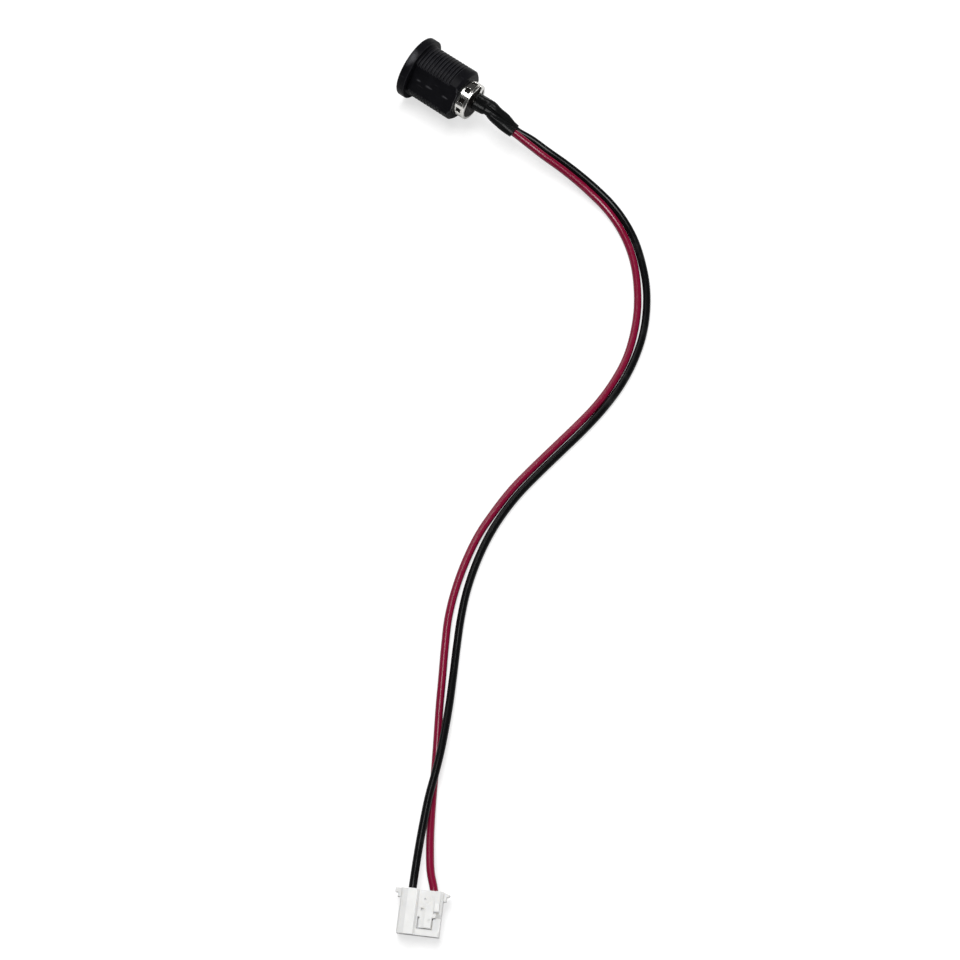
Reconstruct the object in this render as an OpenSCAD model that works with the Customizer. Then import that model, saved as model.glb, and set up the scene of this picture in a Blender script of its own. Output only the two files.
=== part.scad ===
// Charging port on a two-wire lead: a round panel jack for a barrel plug, a red
// and a black wire that leave it through a shrunk sleeve, and a white two-way
// crimp plug on the far end. Millimetres.
//
// The jack's axis is X, and its rear points to +X. The origin is on that axis, in
// the plane of the flange's rear face. +Z is up: the flange's rim, the wires and
// the plug lie on one level surface.

/* [Jack body] */
// Diameter of the flange
flange_d = 13; // [12:0.1:15]
// Thickness of the flange
flange_t = 1.8; // [1.6:0.1:3]
// Rounding of the flange's front edge
flange_round = 0.4; // [0.2:0.1:0.6]
// Outside diameter of the barrel's thread
barrel_d = 11; // [10.4:0.1:11.6]
// Length of the barrel behind the flange
barrel_l = 10.4; // [9.6:0.1:13]
// Distance between the ridges of the barrel's thread
thread_pitch = 0.75; // [0.7:0.05:1]
// Depth of the thread
thread_depth = 0.24; // [0.15:0.01:0.3]
// Plain length of the barrel behind the thread
plain_l = 1.3; // [0.8:0.1:1.6]
// Distance across the barrel's two flats
flats_w = 9; // [8.9:0.1:10]
// Turn of the flats about the axis
flats_turn = 55; // [0:5:90]
// Chamfer at the barrel's rear end
barrel_chamfer = 0.5; // [0.3:0.1:0.8]

/* [Socket] */
// Diameter of the mouth
mouth_d = 6.4; // [6:0.1:6.8]
// Chamfer round the mouth
mouth_chamfer = 0.4; // [0.2:0.1:0.6]
// Depth of the lip in front of the contact shell
lip_l = 1.5; // [1.2:0.1:1.8]
// Diameter of the centre pin
pin_d = 2.1; // [1.8:0.1:2.5]
// Distance of the pin's tip behind the lip
pin_recess = 0.2; // [0.1:0.1:1]
// Diameter of the pin's collar
collar_d = 3.4; // [3:0.1:4]
// Length of the pin's collar
collar_l = 0.5; // [0.3:0.1:0.8]

/* [Contact shell] */
// Outside diameter of the shell
shell_d = 7.7; // [7.4:0.1:8]
// Wall of the shell
shell_wall = 0.4; // [0.3:0.05:0.5]
// Length of the shell that stands out of the barrel
shell_out = 2.45; // [2.1:0.05:3.2]
// Length of the rolled rim
rim_l = 0.4; // [0.3:0.1:0.6]
// How far the rolled rim turns in
rim_in = 0.15; // [0.1:0.05:0.3]
// Width of the groove in front of the rim
groove_w = 0.2; // [0.15:0.05:0.3]
// Depth of the groove in front of the rim
groove_depth = 0.15; // [0.1:0.05:0.2]
// Number of windows round the shell
window_count = 10; // [6:1:11]
// Width of a window
window_w = 1.1; // [0.8:0.1:1.3]
// Length of a window
window_l = 1.1; // [0.8:0.1:1.2]
// Distance from the windows to the groove
window_gap = 0.1; // [0.05:0.05:0.3]
// Turn of the windows about the axis
window_turn = 4; // [0:1:36]
// Width of the solder tongue
tongue_w = 1.2; // [0.8:0.1:1.3]
// Thickness of the solder tongue
tongue_t = 0.25; // [0.2:0.05:0.3]

/* [Contact spring] */
// Width of the spring leaf
spring_w = 2.2; // [1.6:0.1:2.6]
// Thickness of the spring leaf
spring_t = 0.25; // [0.15:0.05:0.3]
// Distance of the leaf's tip behind the shell's front end
spring_in = 1; // [0.6:0.1:1.6]
// How far the leaf bows in
spring_bow = 0.45; // [0.2:0.05:0.5]
// Length of the leaf's foot in the insulator
spring_foot = 1.2; // [0.8:0.1:1.6]

/* [Rear insulator] */
// How far the insulator stands out of the rolled rim
head_out = 0.1; // [0:0.05:0.4]
// Rounding of the insulator's rear edge
head_round = 0.2; // [0.1:0.05:0.3]
// Length of the spigot inside the shell
spigot_l = 3.8; // [3:0.1:4.4]
// Diameter of the pin's shank in the insulator
shank_d = 1.5; // [1.2:0.1:1.8]

/* [Solder joints] */
// Diameter of the pin's riveted head
rivet_d = 2.2; // [1.9:0.1:2.6]
// Thickness of the riveted head
rivet_t = 0.3; // [0.2:0.1:0.5]
// Length of the solder cup and of the tongue beside it
cup_l = 2; // [1.6:0.1:2.4]
// Wall of the solder cup
cup_wall = 0.2; // [0.15:0.05:0.3]
// Length of the solder on each joint
solder_l = 1.4; // [1:0.1:1.5]
// Thickness of the solder round the strands
solder_t = 0.15; // [0.1:0.05:0.2]
// Wall of the inner sleeve over the pin's joint
sleeve_wall = 0.2; // [0.1:0.05:0.3]
// Turn of the tongue and its joint about the axis
joint_turn = 45; // [0:5:60]
// Length of bare strands behind the joints
bare_l = 1; // [0.8:0.1:1.4]

/* [Wires] */
// Outside diameter of each wire
wire_d = 1.5; // [1.3:0.1:1.6]
// Diameter of the bundle of strands in a wire
strand_d = 0.76; // [0.6:0.02:0.8]

/* [Shrunk sleeve] */
// Wall of the shrunk sleeve
shrink_wall = 0.2; // [0.15:0.05:0.35]
// How far the sleeve draws in behind the joints, on the red wire's side
waist_in = 0.2; // [0:0.05:0.25]
// How far the sleeve's end stands off the red wire's side
slack = 0.32; // [0:0.02:0.5]

/* [Plug housing] */
// Distance between the two circuits
pitch = 3.96; // [3.9:0.01:4.2]
// Length of the housing
plug_l = 8.2; // [8.1:0.1:10]
// Width of the housing between its ears
plug_w = 7.7; // [7.5:0.1:8.4]
// Height of the housing's block
block_h = 4.4; // [4.2:0.1:5]
// Height of the ribs on the block
rib_h = 0.8; // [0.4:0.1:1.2]
// Width of the low shelf beside the wide rib
shelf_w = 1.3; // [0.9:0.05:1.5]
// Width of the wide rib
rib_w = 2.05; // [1.4:0.05:2.2]
// Width of the channel between the ribs
channel_w = 2.95; // [2.6:0.05:3.1]
// Width of the narrow rib
narrow_rib_w = 0.9; // [0.6:0.1:0.9]
// Length of the narrow rib from the wire end
narrow_rib_l = 4; // [3:0.1:4.6]
// How far each ear stands out
ear_out = 1.05; // [0.6:0.05:1.4]
// Thickness of the ears
ear_t = 0.8; // [0.5:0.1:1.2]
// Height of the ears
ear_h = 3.2; // [2:0.1:4]
// Chamfer along the block's edges
block_chamfer = 0.3; // [0.1:0.05:0.4]
// Thickness of the wall at the mating end
end_wall = 0.9; // [0.6:0.1:0.9]
// Side of the square hole for a header pin
pin_hole = 1.5; // [1.3:0.1:1.7]
// Start of the window from the wire end
window_x = 4.9; // [4.6:0.1:5]
// Length of the window
lock_window_l = 2.2; // [1.6:0.1:2.3]
// Width of the window
lock_window_w = 2.6; // [2:0.1:2.6]
// Depth of the side notch by the narrow rib
notch_depth = 0.6; // [0.3:0.1:0.7]

/* [Crimp terminals] */
// Outside width and height of a terminal's box
box_w = 2.4; // [2.2:0.05:2.5]
// Thickness of the terminal's sheet
sheet_t = 0.25; // [0.2:0.05:0.3]
// Length of the box
box_l = 3.4; // [2.8:0.1:3.4]
// Length of each crimp
crimp_l = 1.2; // [0.9:0.1:1.2]
// Start of the lance behind the box's wire end
lance_in = 1; // [0.6:0.1:1.2]
// Length of the lance
lance_l = 1.4; // [1:0.1:1.8]
// How far the lance springs up
lance_rise = 0.35; // [0.2:0.05:0.4]

/* [Place of the plug] */
// Wire end of the housing, along the jack's axis
plug_x = 101.2; // [100:0.1:102]
// Wire end of the housing, across the jack's axis
plug_y = -136.7; // [-138:0.1:-136]
// Turn of the housing on the surface
plug_turn = -61; // [-64:1:-58]
// Tilt of the housing, which stands on its mating end's lower edge
plug_tilt = 8; // [5:1:10]

/* [Hidden] */
$fn = 96;

// Clearance between pieces that fit together
fit_gap = 0.03;
// Overlap of a cut past the face that it opens
cut = 1;
// Distance from a stop to the piece that comes near it
stand_off = 0.1;
// Room between the two wires where they run side by side
wire_gap = 0.06;
// Sides of each wire's tube
wire_sides = 8;

// Sizes that pieces share
shell_r = shell_d / 2;
shell_in_r = shell_r - shell_wall;
rim_r = shell_in_r - rim_in;
wire_r = wire_d / 2;
strand_r = strand_d / 2;
joint_r = strand_r + solder_t;
sleeve_in_r = max(shank_d / 2, joint_r + cup_wall) + fit_gap;
sleeve_r = sleeve_in_r + sleeve_wall;
wire_step = max(wire_d + wire_gap, sleeve_r + joint_r + fit_gap);
tag_y = wire_step + strand_r + fit_gap;
spring_r = sqrt(pow(shell_in_r - fit_gap, 2) - pow(spring_w / 2, 2));

// Places along the jack's axis, front to rear
front_x = -flange_t;
shell_x = front_x + lip_l;
pin_tip_x = shell_x + pin_recess;
rim_x = barrel_l + shell_out;
head_x = rim_x + head_out;
spigot_x = rim_x - rim_l - spigot_l;
rivet_x = head_x + rivet_t;
cup_x = rivet_x + cup_l;
solder_x = rivet_x + (cup_l - solder_l) / 2;
wire_x = cup_x + bare_l;
groove_x = rim_x - rim_l - groove_w;
window_start = groove_x - window_gap - window_l;

// Levels and places on the plug, whose own frame starts on its wire end
table_z = -flange_d / 2;
lie_z = table_z + wire_r;
axis_h = block_h / 2;
plug_z = table_z + axis_h * cos(plug_tilt) + plug_l * sin(plug_tilt);
top_z = block_h - axis_h;
rib_y = -plug_w / 2 + shelf_w;
channel_y = rib_y + rib_w;
narrow_y = channel_y + channel_w;
cavity_w = box_w + 2 * stand_off;
cavity_l = plug_l - end_wall;
box_x = cavity_l - stand_off - box_l;
lance_x = box_x + lance_in;
// Width of a terminal's strip, its length between the crimps, and the start of its wire crimp
strip_w = strand_d + 2 * fit_gap;
strip_l = 0.6;
grip_x = 0.5;
grip_end_x = grip_x + crimp_l;
core_x = box_x - crimp_l - strip_l;
wire_end_x = grip_end_x + fit_gap;

// First points of both wires behind the joints: along the axis, aside, up, share of the joints' turn
fall = [[0, 0, 0, 1], [0.5, 0, 0, 1], [1.7, -0.4, -0.1, 0.8], [3.4, -0.6, -0.35, 0.25],
        [5, -0.6, -0.6, -0.4], [6.5, -0.45, -0.85, -0.95]];
// Points of the red wire on its way to the plug: x, y, height over the surface
red_lay = [[26.4, -0.55, 4.2], [30.4, -0.65, 3.5], [34.4, -0.55, 2.75], [38.4, -0.65, 1.95],
           [42.3, -1, 1.15], [46.2, -1.65, 0.5], [50.1, -3, 0.1], [54.2, -5.3, 0],
           [58, -8.4, 0], [61.4, -12.2, 0],
           [64.4, -16.5, 0], [66.8, -21.2, 0], [68.6, -26.4, 0], [69.5, -32, 0], [69.7, -37.9, 0],
           [69.2, -43.8, 0], [68.4, -49.8, 0], [67.6, -55.8, 0], [67, -61.8, 0], [67, -67.6, 0],
           [67.4, -73.2, 0], [68.6, -79, 0], [70.4, -84.8, 0], [72.8, -90.4, 0], [75.8, -95.6, 0],
           [79, -100.8, 0], [82.2, -106, 0], [85.4, -111, 0], [88.5, -115.9, 0], [91.4, -120.6, 0.15],
           [94.3, -125.1, 0.6], [97.1, -129.1, 1.25], [99.9, -132.7, 2]];
// Points of the black wire, which passes over the red one before the plug
black_lay = [[26.4, 0.95, 3.75], [30.4, 0.9, 3.1], [34.4, 1, 2.4], [38.5, 0.9, 1.7],
             [42.6, 0.55, 1], [46.7, -0.15, 0.4], [50.9, -1.65, 0.1], [55.2, -4.1, 0],
             [59.1, -7.3, 0], [62.6, -11.2, 0],
             [65.7, -15.6, 0], [68.3, -20.5, 0], [70.2, -26, 0], [71.2, -31.8, 0], [71.3, -37.9, 0],
             [70.8, -44, 0], [70, -50, 0], [69.2, -56, 0], [68.6, -61.9, 0], [68.6, -67.4, 0],
             [69.2, -72.8, 0], [70.5, -78.4, 0], [72.4, -84, 0], [74.9, -89.4, 0], [77.7, -94.5, 0],
             [80.5, -99.4, 0.2], [83.2, -104.2, 0.6], [85.6, -108.8, 1.1], [87.7, -113.1, 1.5],
             [89.5, -117.3, 1.7], [91.2, -121.5, 1.85], [93.2, -125.7, 2],
             [95.2, -129.7, 2.15], [97.3, -133.7, 2.4]];

// Point of the plug's own frame, on the level of its circuits
function plug_point(x, y) = [plug_x + x * cos(plug_tilt) * cos(plug_turn) - y * sin(plug_turn),
                             plug_y + x * cos(plug_tilt) * sin(plug_turn) + y * cos(plug_turn),
                             plug_z - x * sin(plug_tilt)];

// Point at a distance from the jack's axis, on the side of the tongue's joint
function beside(x, distance, share = 1, aside = 0, rise = 0) =
    [x, aside + distance * cos(joint_turn * share), rise + distance * sin(joint_turn * share)];

// Whole route of a wire: fall from the jack, way over the surface, straight into the plug
function route(step, lay, y) = concat([for (p = fall) beside(wire_x + p[0], step, p[3], p[1], p[2])],
                                      [for (p = lay) [p[0], p[1], lie_z + p[2]]],
                                      [plug_point(0, y), plug_point(wire_end_x, y)]);

red_route = route(0, red_lay, pitch / 2);
black_route = route(wire_step, black_lay, -pitch / 2);

function unit(v) = v / norm(v);
function heading(way, i) = unit(way[min(i + 1, len(way) - 1)] - way[max(i - 1, 0)]);

// Outline points set square to a route at its point i
function ring(way, i, outline) =
    let (along = heading(way, i), side = unit(cross([0, 0, 1], along)), rise = cross(along, side))
    [for (p = outline) way[i] + p[0] * side + p[1] * rise];

// Round outline with n corners
function round_outline(r, n) = [for (j = [0:n - 1]) r * [cos(360 * j / n), sin(360 * j / n)]];

// Flat-sided oval outline; size is [width, height]
function oval_outline(size, n) =
    [for (j = [0:n - 1])
        let (a = 360 * (j + 0.5) / n, r = size[1] / 2)
        [r * cos(a) + sign(cos(a)) * (size[0] / 2 - r), r * sin(a)]];

// Outline turned by an angle
function turned_outline(outline, a) =
    [for (p = outline) [p[0] * cos(a) - p[1] * sin(a), p[0] * sin(a) + p[1] * cos(a)]];

// Angle of a crosswise line in the plane square to a heading
function lean(along, across) =
    let (side = unit(cross([0, 0, 1], along)))
    atan2(across * cross(along, side), across * side);

// Arc of n steps round c
function arc(c, r, a0, a1, n = 6) =
    [for (j = [0:n])
        let (a = a0 + (a1 - a0) * j / n)
        c + r * [cos(a), sin(a)]];

// Triangles between neighbouring rings of n points
function skin_faces(n, last, shift) =
    [for (i = [0:last - 1], j = [0:n - 1])
        let (a = shift + i * n + j, b = shift + i * n + (j + 1) % n)
        each [[a, a + n, b + n], [a, b + n, b]]];
function flipped(faces) = [for (f = faces) [for (j = [len(f) - 1:-1:0]) f[j]]];

// Closed tube along a route
module solid_sweep(way, outline) {
    n = len(outline);
    last = len(way) - 1;
    points = [for (i = [0:last]) each ring(way, i, outline)];
    caps = [[for (j = [0:n - 1]) j], [for (j = [n - 1:-1:0]) last * n + j]];
    polyhedron(points, concat(skin_faces(n, last, 0), caps), convexity = 8);
}

// Open tube along a route, with an outer and an inner outline at each point
module hollow_sweep(way, outers, inners) {
    n = len(outers[0]);
    last = len(way) - 1;
    inner_start = (last + 1) * n;
    points = concat([for (i = [0:last]) each ring(way, i, outers[i])],
                    [for (i = [0:last]) each ring(way, i, inners[i])]);
    near = [for (j = [0:n - 1]) [j, (j + 1) % n, inner_start + (j + 1) % n, inner_start + j]];
    far = [for (f = near) [for (v = f) v + last * n]];
    outside = skin_faces(n, last, 0);
    inside = flipped(skin_faces(n, last, inner_start));
    polyhedron(points, concat(outside, inside, near, flipped(far)), convexity = 8);
}

// Solid turned about the jack's axis: points are [distance along X, radius]
module turned(profile) {
    rotate([0, 90, 0])
        rotate_extrude()
            polygon([for (p = profile) [p[1], p[0]]]);
}

module rod(x0, x1, r, y = 0) {
    translate([x0, y, 0])
        rotate([0, 90, 0])
            cylinder(r = r, h = x1 - x0);
}

// Block between two corners
module block(low, high) {
    translate(low)
        cube(high - low);
}

module on_plug(y = 0) {
    translate(plug_point(0, 0))
        rotate([0, plug_tilt, plug_turn])
            translate([0, y, 0])
                children();
}

// Turns pieces to the side of the tongue's joint
module at_joint() {
    rotate([joint_turn, 0, 0])
        children();
}

// Outline of one thread groove that starts at x, with flanks at 30 degrees
function thread_groove(x) =
    let (r = barrel_d / 2, flank = thread_depth * tan(30), floor_l = thread_pitch / 4)
    [[x, r], [x + flank, r - thread_depth],
     [x + flank + floor_l, r - thread_depth], [x + 2 * flank + floor_l, r]];

// Moulded body: rounded flange, barrel with thread rings and two flats, mouth and the shell's seat
module jack_body() {
    flange_r = flange_d / 2;
    barrel_r = barrel_d / 2;
    seat_r = shell_r + fit_gap;
    thread_x = thread_pitch / 2;
    grooves = floor((barrel_l - barrel_chamfer - plain_l - thread_x) / thread_pitch);
    color("#1c1c1e")
        difference() {
            union() {
                turned(concat([[front_x, 0]],
                              arc([front_x + flange_round, flange_r - flange_round], flange_round, 180, 90),
                              [[0, flange_r], [0, 0]]));
                intersection() {
                    turned(concat([[-flange_t / 2, 0], [-flange_t / 2, barrel_r]],
                                  [for (i = [0:grooves - 1]) each thread_groove(thread_x + i * thread_pitch)],
                                  [[barrel_l - barrel_chamfer, barrel_r],
                                   [barrel_l, barrel_r - barrel_chamfer], [barrel_l, 0]]));
                    rotate([flats_turn, 0, 0])
                        translate([barrel_l / 2, 0, 0])
                            cube([2 * barrel_l, barrel_d, flats_w], center = true);
                }
            }
            turned([[front_x - cut, 0], [front_x - cut, mouth_d / 2 + mouth_chamfer + cut],
                    [front_x + mouth_chamfer, mouth_d / 2], [shell_x, mouth_d / 2], [shell_x, seat_r],
                    [barrel_l + cut, seat_r], [barrel_l + cut, 0]]);
        }
}

// Drawn shell with windows, a groove, a rolled rim and a solder tongue bent over the head
module contact_shell() {
    tongue_y = shell_r - tongue_t;
    half = tongue_w / 2;
    color("#d4d4d2") {
        difference() {
            turned([[shell_x, shell_in_r], [shell_x, shell_r], [groove_x, shell_r],
                    [groove_x, shell_r - groove_depth],
                    [groove_x + groove_w, shell_r - groove_depth], [groove_x + groove_w, shell_r],
                    [rim_x - rim_l / 2, shell_r], [rim_x, shell_r - rim_l / 2], [rim_x, rim_r],
                    [rim_x - rim_l, rim_r], [rim_x - rim_l, shell_in_r]]);
            for (i = [0:window_count - 1])
                rotate([window_turn + 360 * i / window_count, 0, 0])
                    block([window_start, -window_w / 2, shell_in_r / 2],
                          [window_start + window_l, window_w / 2, shell_d]);
        }
        at_joint() {
            block([rim_x - rim_l, tongue_y, -half], [head_x + tongue_t, shell_r, half]);
            block([head_x, tag_y, -half], [head_x + tongue_t, shell_r, half]);
            block([head_x, tag_y, -half], [cup_x, tag_y + tongue_t, half]);
        }
    }
}

// Bowed leaf that presses on the plug's sleeve, with its foot held by the insulator
module contact_spring() {
    steps = 12;
    tip_x = shell_x + spring_in;
    free_l = spigot_x - tip_x;
    top = [for (j = [0:steps])
              let (bow = spring_bow * (1 - cos(360 * j / steps)) / 2)
              [tip_x + free_l * j / steps, spring_r - bow]];
    leaf = concat(top,
                  [[spigot_x + spring_foot, spring_r], [spigot_x + spring_foot, spring_r - spring_t]],
                  [for (j = [steps:-1:0]) top[j] - [0, spring_t]]);
    color("#b9925a")
        rotate([-90, 0, 0])
            translate([0, 0, -spring_w / 2])
                linear_extrude(spring_w)
                    polygon(leaf);
}

// Disc that closes the shell: spigot, shoulder under the rolled rim and a rounded head
module rear_insulator() {
    spigot_r = shell_in_r - fit_gap;
    head_r = rim_r - fit_gap;
    slot_w = spring_w + 2 * fit_gap;
    color("#151516")
        difference() {
            turned(concat([[spigot_x, 0], [spigot_x, spigot_r],
                           [rim_x - rim_l, spigot_r], [rim_x - rim_l, head_r]],
                          arc([head_x - head_round, head_r - head_round], head_round, 90, 0),
                          [[head_x, 0]]));
            rod(spigot_x - cut, head_x + cut, shank_d / 2 + fit_gap);
            block([spigot_x - cut, -slot_w / 2, -shell_d],
                  [spigot_x + spring_foot + fit_gap, slot_w / 2, -spring_r + spring_t + fit_gap]);
        }
}

// Turned pin: round tip, collar on the spigot, shank, riveted head and an open solder cup
module centre_pin() {
    pin_r = pin_d / 2;
    tip = pin_r / 2;
    color("#cfcabd")
        difference() {
            turned(concat([[pin_tip_x, 0]],
                          arc([pin_tip_x + tip, pin_r - tip], tip, 180, 90),
                          [[spigot_x - collar_l, pin_r], [spigot_x - collar_l, collar_d / 2],
                           [spigot_x, collar_d / 2], [spigot_x, shank_d / 2], [head_x, shank_d / 2],
                           [head_x, rivet_d / 2], [rivet_x, rivet_d / 2], [rivet_x, joint_r + cup_wall],
                           [cup_x, joint_r + cup_wall], [cup_x, 0]]));
            rod(rivet_x, cup_x + cut, joint_r);
            block([rivet_x, -rivet_d, 0], [cup_x + cut, rivet_d, rivet_d]);
        }
}

// Solder round the strands of a joint
module joint_solder(y) {
    rod(solder_x, solder_x + solder_l, joint_r, y);
}

// Solder in the cup
module pin_solder() {
    color("#b8b8b6")
        difference() {
            joint_solder(0);
            bared_end(0);
        }
}

// Solder between the strands and the shell's tongue
module shell_solder() {
    color("#b8b8b6")
        at_joint()
            difference() {
                joint_solder(wire_step);
                bared_end(wire_step);
                block([solder_x - cut, tag_y, -shell_d], [cup_x + cut, shell_d, shell_d]);
            }
}

// Bared end of a wire at the jack
module bared_end(y) {
    color("#c9c2b6")
        rod(rivet_x + stand_off, wire_x, strand_r, y);
}

// Sleeve over the pin's joint
module lug_sleeve() {
    color("#18181a")
        difference() {
            rod(rivet_x, cup_x, sleeve_r);
            rod(rivet_x - cut, cup_x + cut, sleeve_in_r);
        }
}

// Sleeve shrunk over both joints and both wires: wide at the jack, drawn in over the
// bare strands, flat at its end and loose on the red wire's side
module heat_shrink() {
    sides = 32;
    tall_r = sleeve_r + fit_gap;
    tag_reach = tag_y + tongue_t + 2 * fit_gap + tall_r - sqrt(pow(tall_r, 2) - pow(tongue_w / 2, 2));
    joint_mid = (tag_reach - tall_r) / 2;
    joint_size = [tag_reach + tall_r, 2 * tall_r];
    pair_size = [wire_step + wire_d, wire_d] + 6 * fit_gap * [1, 1];
    waist_size = pair_size - waist_in * [1, 2];
    looseness = [for (p = fall) slack * pow(p[0] / fall[len(fall) - 1][0], 2)];
    starts = [[rivet_x + stand_off, joint_mid], [cup_x + fit_gap, joint_mid],
              [cup_x + bare_l / 2, (wire_step + waist_in) / 2]];
    last = len(fall) - 1;
    way = concat([for (p = starts) beside(p[0], p[1])],
                 [for (i = [0:last])
                     let (across = black_route[i] - red_route[i])
                     red_route[i] + across / 2 - looseness[i] / 2 * unit(across)]);
    leans = concat([for (p = starts) joint_turn],
                   [for (i = [0:last]) lean(heading(way, len(starts) + i), black_route[i] - red_route[i])]);
    sizes = concat([joint_size, joint_size, waist_size], [for (l = looseness) pair_size + l * [1, 0]]);
    walls = 2 * shrink_wall * [1, 1];
    stations = [0:len(way) - 1];
    outers = [for (i = stations) turned_outline(oval_outline(sizes[i] + walls, sides), leans[i])];
    inners = [for (i = stations) turned_outline(oval_outline(sizes[i], sides), leans[i])];
    color("#1a1b1c")
        hollow_sweep(way, outers, inners);
}

module red_wire() {
    color("#a6214f")
        solid_sweep(red_route, round_outline(wire_r, wire_sides));
}

module black_wire() {
    color("#161617")
        solid_sweep(black_route, round_outline(wire_r, wire_sides));
}

// Section of the housing: block with chamfered edges, a wide rib, a channel and a narrow rib
function housing_section() =
    let (half = plug_w / 2, c = block_chamfer, low = -axis_h, high = top_z + rib_h)
    [[-half, low + c], [-half + c, low], [half - c, low], [half, low + c],
     [half, top_z - c], [half - c, top_z],
     [narrow_y + narrow_rib_w, top_z], [narrow_y + narrow_rib_w, high], [narrow_y, high], [narrow_y, top_z],
     [channel_y, top_z], [channel_y, high], [rib_y, high], [rib_y, top_z],
     [-half + c, top_z], [-half, top_z - c]];

// Ears of the wire end, in two steps
module ears() {
    for (step = [[0, ear_out], [ear_t, ear_out / 2]])
        block([step[0], -plug_w / 2 - step[1], -ear_h / 2],
              [step[0] + ear_t, plug_w / 2 + step[1], ear_h / 2]);
}

// Moulded housing with two cavities, a window over the lance and a notched corner
module plug_housing() {
    half_hole = pin_hole / 2;
    half_cavity = cavity_w / 2;
    middle_y = channel_y + channel_w / 2;
    pocket_z = box_w / 2 + lance_rise + fit_gap;
    color("#ececea")
        on_plug()
            difference() {
                union() {
                    rotate([90, 0, 90])
                        linear_extrude(plug_l)
                            polygon(housing_section());
                    ears();
                }
                for (y = [-pitch / 2, pitch / 2]) {
                    block([-cut, y - half_cavity, -half_cavity], [cavity_l, y + half_cavity, half_cavity]);
                    block([lance_x - fit_gap, y - strip_w / 2 - fit_gap, 0],
                          [lance_x + lance_l + fit_gap, y + strip_w / 2 + fit_gap, pocket_z]);
                    block([cavity_l - cut, y - half_hole, -half_hole],
                          [plug_l + cut, y + half_hole, half_hole]);
                }
                block([window_x, middle_y - lock_window_w / 2, 0],
                      [window_x + lock_window_l, middle_y + lock_window_w / 2, top_z + rib_h]);
                block([narrow_rib_l, narrow_y, top_z], [plug_l + cut, plug_w, top_z + rib_h + cut]);
                block([narrow_rib_l, narrow_y + narrow_rib_w / 2, top_z - notch_depth],
                      [plug_l - end_wall, plug_w, top_z + cut]);
            }
}

// Folded crimp terminal: box for a header pin, lance, strand crimp and insulation crimp
module terminal() {
    half = box_w / 2;
    inner = half - sheet_t;
    grip_r = wire_r + fit_gap;
    core_r = strand_r + fit_gap;
    lap = 0.2;
    bend_x = wire_end_x + stand_off;
    lance_end_x = lance_x + lance_l;
    difference() {
        block([box_x, -half, -half], [box_x + box_l, half, half]);
        block([box_x - cut, -inner, -inner], [box_x + box_l + cut, inner, inner]);
    }
    lance = [[lance_x, inner], [lance_x, half], [lance_end_x, half + lance_rise],
             [lance_end_x, inner + lance_rise], [lance_x + lap, inner]];
    rear_strip = [[grip_end_x - lap, -grip_r - sheet_t], [grip_end_x - lap, -grip_r], [bend_x, -grip_r],
                  [core_x + lap, -core_r], [core_x + lap, -core_r - sheet_t], [bend_x, -grip_r - sheet_t]];
    front_strip = [[core_x + crimp_l - lap, -core_r - sheet_t], [core_x + crimp_l - lap, -core_r],
                   [box_x + lap, -inner], [box_x + lap, -half]];
    for (strip = [lance, rear_strip, front_strip])
        rotate([90, 0, 0])
            linear_extrude(strip_w, center = true)
                polygon(strip);
    for (crimp = [[grip_x, grip_r], [core_x, core_r]])
        difference() {
            rod(crimp[0], crimp[0] + crimp_l, crimp[1] + sheet_t);
            rod(crimp[0] - cut, crimp[0] + crimp_l + cut, crimp[1]);
        }
}

module red_terminal() {
    color("#c8c6c0")
        on_plug(pitch / 2)
            terminal();
}

module black_terminal() {
    color("#c8c6c0")
        on_plug(-pitch / 2)
            terminal();
}

// Bared end of a wire inside its crimp
module crimped_end() {
    color("#c9a27a")
        rod(wire_end_x, core_x + crimp_l + stand_off, strand_r);
}

jack_body();
contact_shell();
contact_spring();
rear_insulator();
centre_pin();
pin_solder();
shell_solder();
bared_end(0);  // red_strands
at_joint() bared_end(wire_step);  // black_strands
lug_sleeve();
heat_shrink();
red_wire();
black_wire();
plug_housing();
red_terminal();
black_terminal();
on_plug(pitch / 2) crimped_end();  // red_crimped_strands
on_plug(-pitch / 2) crimped_end();  // black_crimped_strands
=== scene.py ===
"""Charging port on a two-wire lead: its finished pieces, their surfaces and the studio round them."""

import math

import bmesh
import bpy
from mathutils import Matrix, Vector, noise


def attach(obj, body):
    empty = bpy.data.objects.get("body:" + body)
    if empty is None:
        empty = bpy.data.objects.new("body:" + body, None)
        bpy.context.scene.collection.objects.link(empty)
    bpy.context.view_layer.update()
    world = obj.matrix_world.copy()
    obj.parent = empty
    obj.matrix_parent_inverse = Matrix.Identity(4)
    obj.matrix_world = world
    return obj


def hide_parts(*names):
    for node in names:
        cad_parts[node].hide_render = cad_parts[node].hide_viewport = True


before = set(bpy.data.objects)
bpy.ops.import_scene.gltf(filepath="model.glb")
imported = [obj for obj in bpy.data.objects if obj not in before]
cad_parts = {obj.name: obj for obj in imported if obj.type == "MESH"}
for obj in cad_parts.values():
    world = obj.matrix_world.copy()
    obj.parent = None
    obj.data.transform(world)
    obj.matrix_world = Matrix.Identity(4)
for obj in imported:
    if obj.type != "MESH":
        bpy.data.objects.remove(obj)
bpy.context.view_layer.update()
scene = bpy.context.scene
MM = 0.001

# Camera fitted to the photo: sensor and lens in millimetres, place in metres, tilt and turn in degrees
SENSOR, LENS = 36, 123.75
CAMERA_AT, CAMERA_TILT, CAMERA_TURN = (0.21364, -0.27374, 0.56923), 24.29, 36.06

# Jack, in millimetres along its axis and from it
FLANGE_R, FLANGE_T, FLANGE_ROUND = 6.5, 1.8, 0.4
FLANGE_FACE_EDGE, FLANGE_RINGS = 0.7, (-0.95, -0.65, -0.35)
BARREL_R, BARREL_L, BARREL_CHAMFER, REAR_EDGE = 5.5, 10.4, 0.5, 0.1
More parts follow.
